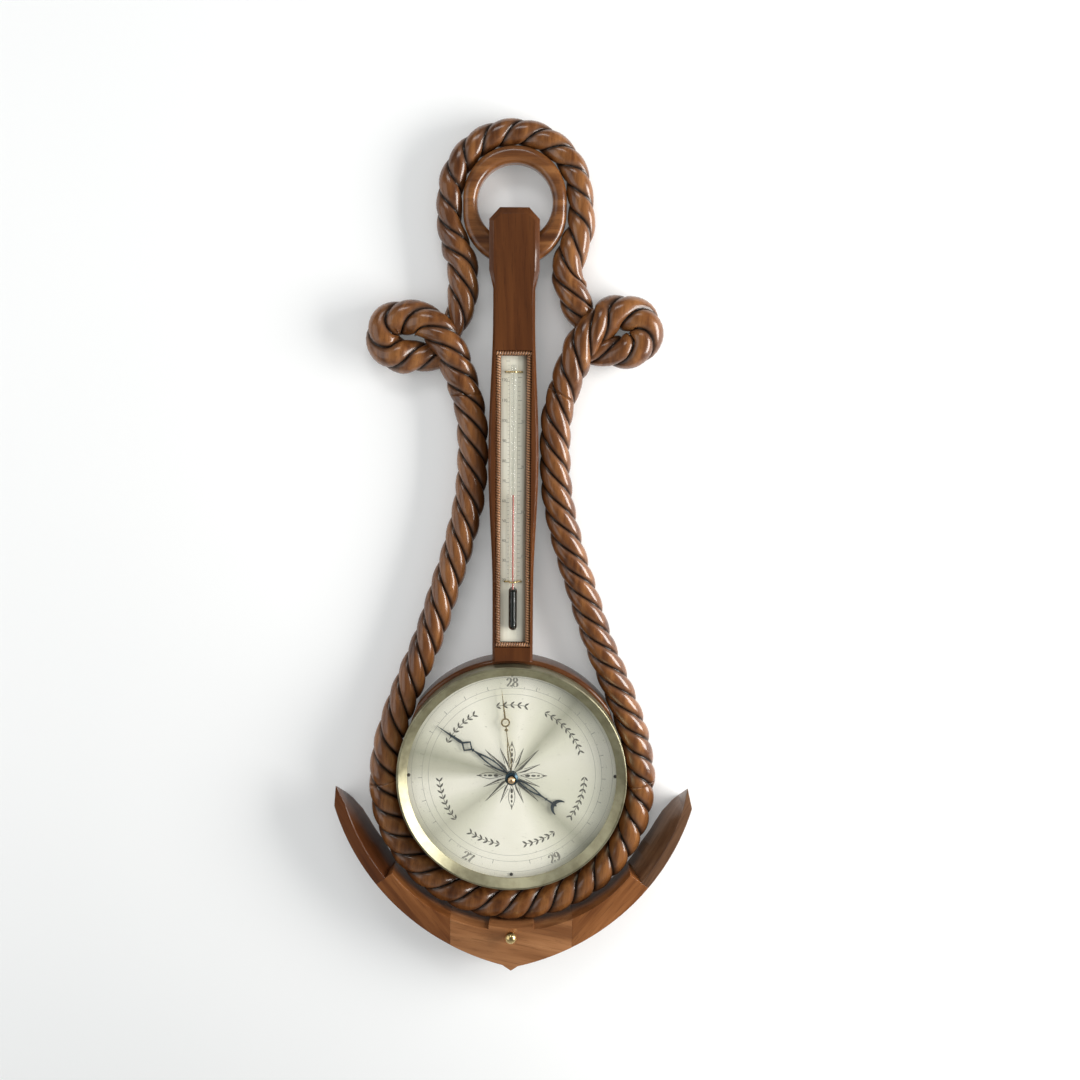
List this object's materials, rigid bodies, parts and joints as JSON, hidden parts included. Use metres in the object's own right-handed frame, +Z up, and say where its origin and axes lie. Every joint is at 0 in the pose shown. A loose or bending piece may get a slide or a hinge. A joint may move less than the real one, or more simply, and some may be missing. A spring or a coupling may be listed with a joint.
{
  "type": "wall barometer",
  "caption": "Wall barometer carved as a ship's anchor wound with rope, with a thermometer in its shank and a round aneroid dial with two hands.",
  "frame": {"origin": "centre of the hanging hole in the hanger plate, on the wall plane", "axes": "+Z up along the shank, -Y out of the wall towards the viewer, +X to the viewer's right; the wall is the plane y = 0"},
  "size_m": [0.3303, 0.0465, 0.7767],
  "materials": {
    "walnut": "carved and varnished, glossy",
    "dark_beading": "carved beading, varnished",
    "brass": "polished and lacquered",
    "steel": "drawn and filed",
    "blued_steel": "blued",
    "nickel_silver": "corrugated sheet",
    "dark_screws": "blackened",
    "silvered_dial": "spun and silvered, with a radial sheen",
    "glass": "clear",
    "ivory_scale": "satin, with engraved lines",
    "red_spirit": "clear red"
  },
  "bodies": {
    "case": {"rope_bow": "walnut", "left_loop": "walnut", "right_loop": "walnut", "left_rope": "walnut", "right_rope": "walnut", "lower_rope": "walnut", "shackle_ring": "walnut", "shank": "walnut", "dial_base": "walnut", "crown": "walnut", "left_arm": "walnut", "right_arm": "walnut", "left_palm": "walnut", "right_palm": "walnut", "crown_stud": "brass", "thermometer_plate": "ivory_scale", "thermometer_tube": "glass", "thermometer_spirit": "red_spirit", "tube_staples": "brass", "bead_left": "dark_beading", "bead_right": "dark_beading", "bead_top": "dark_beading", "bead_bottom": "dark_beading", "bezel": "brass", "dial_glass": "glass", "glass_ring": "brass", "dial_plate": "silvered_dial", "dial_screws": "dark_screws", "movement_plate": "brass", "plate_screws": "steel", "capsule": "nickel_silver", "main_spring": "steel", "spring_screws": "steel", "shaft_posts": "brass", "arbor_chain": "steel", "hair_spring": "blued_steel", "arbor_cock": "brass", "adjusting_screw": "brass", "hanger_plate": "brass", "hanger_screws": "brass"},
    "pressure_pointer": {"hand_arbor": "steel", "pressure_hand": "blued_steel"},
    "set_pointer": {"set_hand": "brass", "set_knob": "brass", "knob_collar": "blued_steel"},
    "regulating_shaft": {"regulating_shaft": "steel"},
    "main_lever": {"main_lever": "steel"},
    "lever_link": {"lever_link": "steel"}
  },
  "joints": [
    {"name": "pressure_turn", "type": "hinge", "parent": "case", "child": "pressure_pointer", "pos_m": [0, -0.0314, -0.4903], "axis": [0, 1, 0], "range_deg": [-93.7, 206.3], "deforming": ["hair_spring", "arbor_chain"]},
    {"name": "shaft_turn", "type": "hinge", "parent": "case", "child": "regulating_shaft", "pos_m": [0.046, -0.009, -0.4903], "axis": [0, 0, 1], "range_deg": [-14.2, 31.1]},
    {"name": "lever_rise", "type": "hinge", "parent": "case", "child": "main_lever", "pos_m": [-0.062, -0.01225, -0.4903], "axis": [0, 0, 1], "range_deg": [-0.7, 1.4], "deforming": ["main_spring", "capsule"]},
    {"name": "link_turn", "type": "hinge", "parent": "main_lever", "child": "lever_link", "pos_m": [0.051, -0.01945, -0.4803], "axis": [0, 0, 1], "range_deg": [-1.4, 0.7]},
    {"name": "set_turn", "type": "hinge", "parent": "case", "child": "set_pointer", "pos_m": [0, -0.0334, -0.4903], "axis": [0, 1, 0], "continuous": true}
  ],
  "couplings": [
    {"joint": "shaft_turn", "follows": "pressure_turn", "ratio": 0.1504},
    {"joint": "lever_rise", "follows": "pressure_turn", "ratio": 0.006655},
    {"joint": "link_turn", "follows": "pressure_turn", "ratio": -0.006655}
  ]
}
